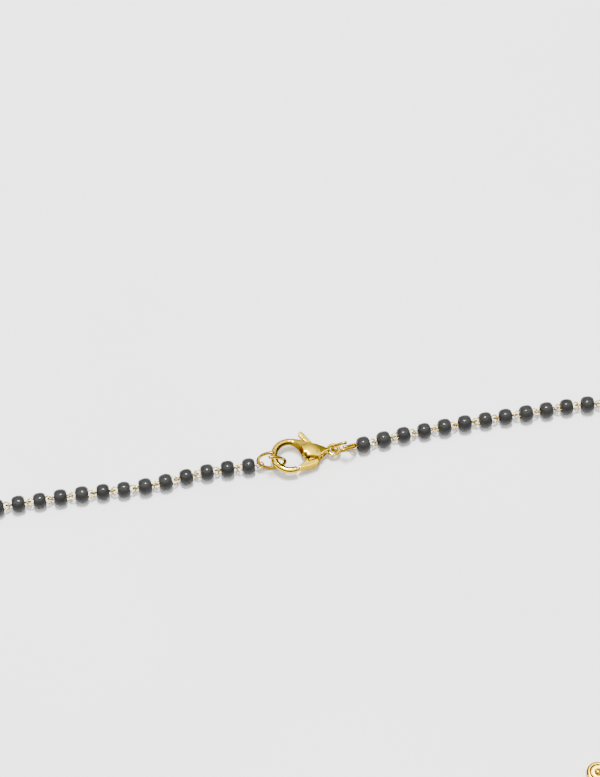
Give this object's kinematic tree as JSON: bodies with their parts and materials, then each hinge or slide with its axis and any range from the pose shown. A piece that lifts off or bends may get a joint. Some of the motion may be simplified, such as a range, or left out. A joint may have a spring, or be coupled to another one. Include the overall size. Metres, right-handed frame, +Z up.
{
  "type": "mangalsutra",
  "caption": "Mangalsutra necklace: black glass beads on hooked gold wire links, closed by a lobster clasp with jump rings, with a small scalloped gold pendant.",
  "frame": {"origin": "on the surface that the necklace lies on, under the middle of its bounding box", "axes": "+X along the straight stretch of chain that holds the clasp, from the hook towards the tail eye; +Y from the middle of the loop towards the clasp; +Z up from the surface"},
  "size_m": [0.1764, 0.0946, 0.0052],
  "materials": {
    "gold": "polished gold plate",
    "black_glass": "polished opaque black glass"
  },
  "bodies": {
    "necklace": {"clasp_body": "gold", "clasp_pin": "gold", "jump_ring_left": "gold", "jump_ring_right": "gold", "bead_string": "black_glass", "wire_links": "gold", "pendant": "gold", "pendant_bail": "gold"},
    "lever": {"clasp_lever": "gold"}
  },
  "joints": [
    {"name": "clasp_lever_hinge", "type": "hinge", "parent": "necklace", "child": "lever", "pos_m": [0.00927, 0.0427, 0.00155], "axis": [-0.0698, 0, -0.9976], "range_deg": [0, 22], "stiffness_Nm_per_rad": 0.004}
  ]
}
